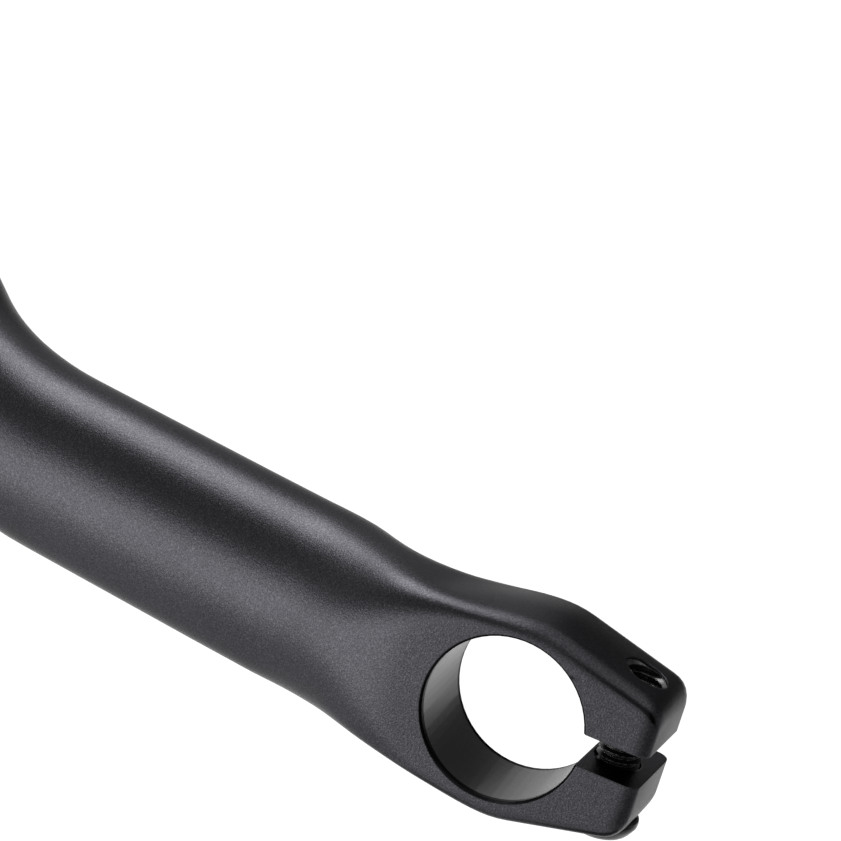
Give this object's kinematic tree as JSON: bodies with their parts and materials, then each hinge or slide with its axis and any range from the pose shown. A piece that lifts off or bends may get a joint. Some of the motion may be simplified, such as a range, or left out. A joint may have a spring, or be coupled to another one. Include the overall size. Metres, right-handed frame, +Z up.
{
  "type": "bicycle bar end",
  "caption": "Forged bicycle bar end: a hollow oval arm with a bent tip, a split handlebar clamp with a button head bolt, and an end plug.",
  "frame": {"origin": "middle of the clamp bore, on its axis", "axes": "-Y along the bore towards the inner side of the clamp, +X along the arm before it leans inwards, +Z up and square to both"},
  "size_m": [0.145, 0.0601, 0.0341],
  "materials": {
    "anodised_aluminium": "bead blasted and anodised matt black",
    "black_steel": "black oxide",
    "black_plastic": "fine matt",
    "grey_inlay": "domed, satin"
  },
  "bodies": {
    "bar_end": {"body": "anodised_aluminium", "end_plug": "black_plastic", "plug_inlay": "grey_inlay"},
    "bolt": {"clamp_bolt": "black_steel"}
  },
  "joints": [
    {"name": "bolt_turn", "type": "hinge", "parent": "bar_end", "child": "bolt", "pos_m": [-0.0146, 0, 0], "axis": [0, 0, 1], "continuous": true}
  ]
}
